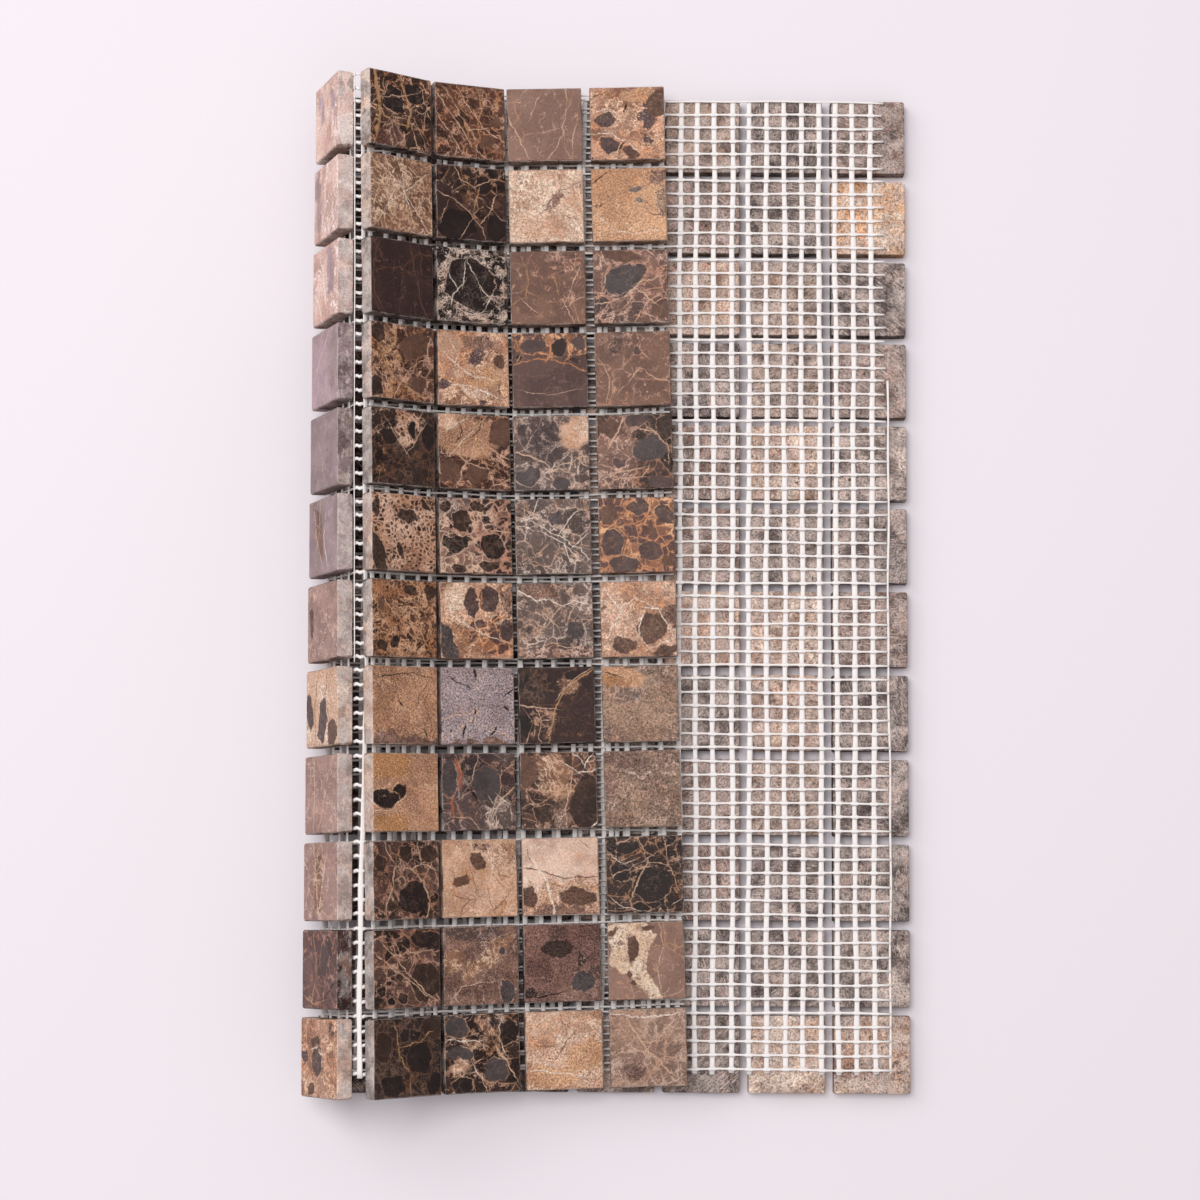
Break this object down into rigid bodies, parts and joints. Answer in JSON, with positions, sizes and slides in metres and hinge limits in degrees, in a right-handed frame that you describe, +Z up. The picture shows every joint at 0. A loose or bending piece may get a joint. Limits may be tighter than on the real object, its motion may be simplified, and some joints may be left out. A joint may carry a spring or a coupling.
{
  "type": "mosaic tile sheet",
  "caption": "Sheet of square polished marble mosaic chips glued by their backs to an open white net, folded over once so that both sides show.",
  "frame": {"origin": "centre of the bounding box's base, on the floor that the face-down chips rest on", "axes": "+Z up; +Y along the fold, towards the far end; +X from the fold towards the sheet's free lower edge"},
  "size_m": [0.1808, 0.3054, 0.0369],
  "materials": {
    "marble": "polished faces, rough sawn sides and backs",
    "net": "matt resin-coated glass fibre"
  },
  "bodies": {
    "root": {"tile_column_01": "marble", "tile_column_02": "marble", "tile_column_03": "marble", "tile_column_04": "marble", "tile_column_05": "marble", "tile_column_06": "marble", "tile_column_07": "marble", "tile_column_08": "marble", "tile_column_09": "marble", "tile_column_10": "marble", "tile_column_11": "marble", "tile_column_12": "marble", "net_wide_strands": "net", "net_thin_strands": "net"}
  },
  "joints": []
}
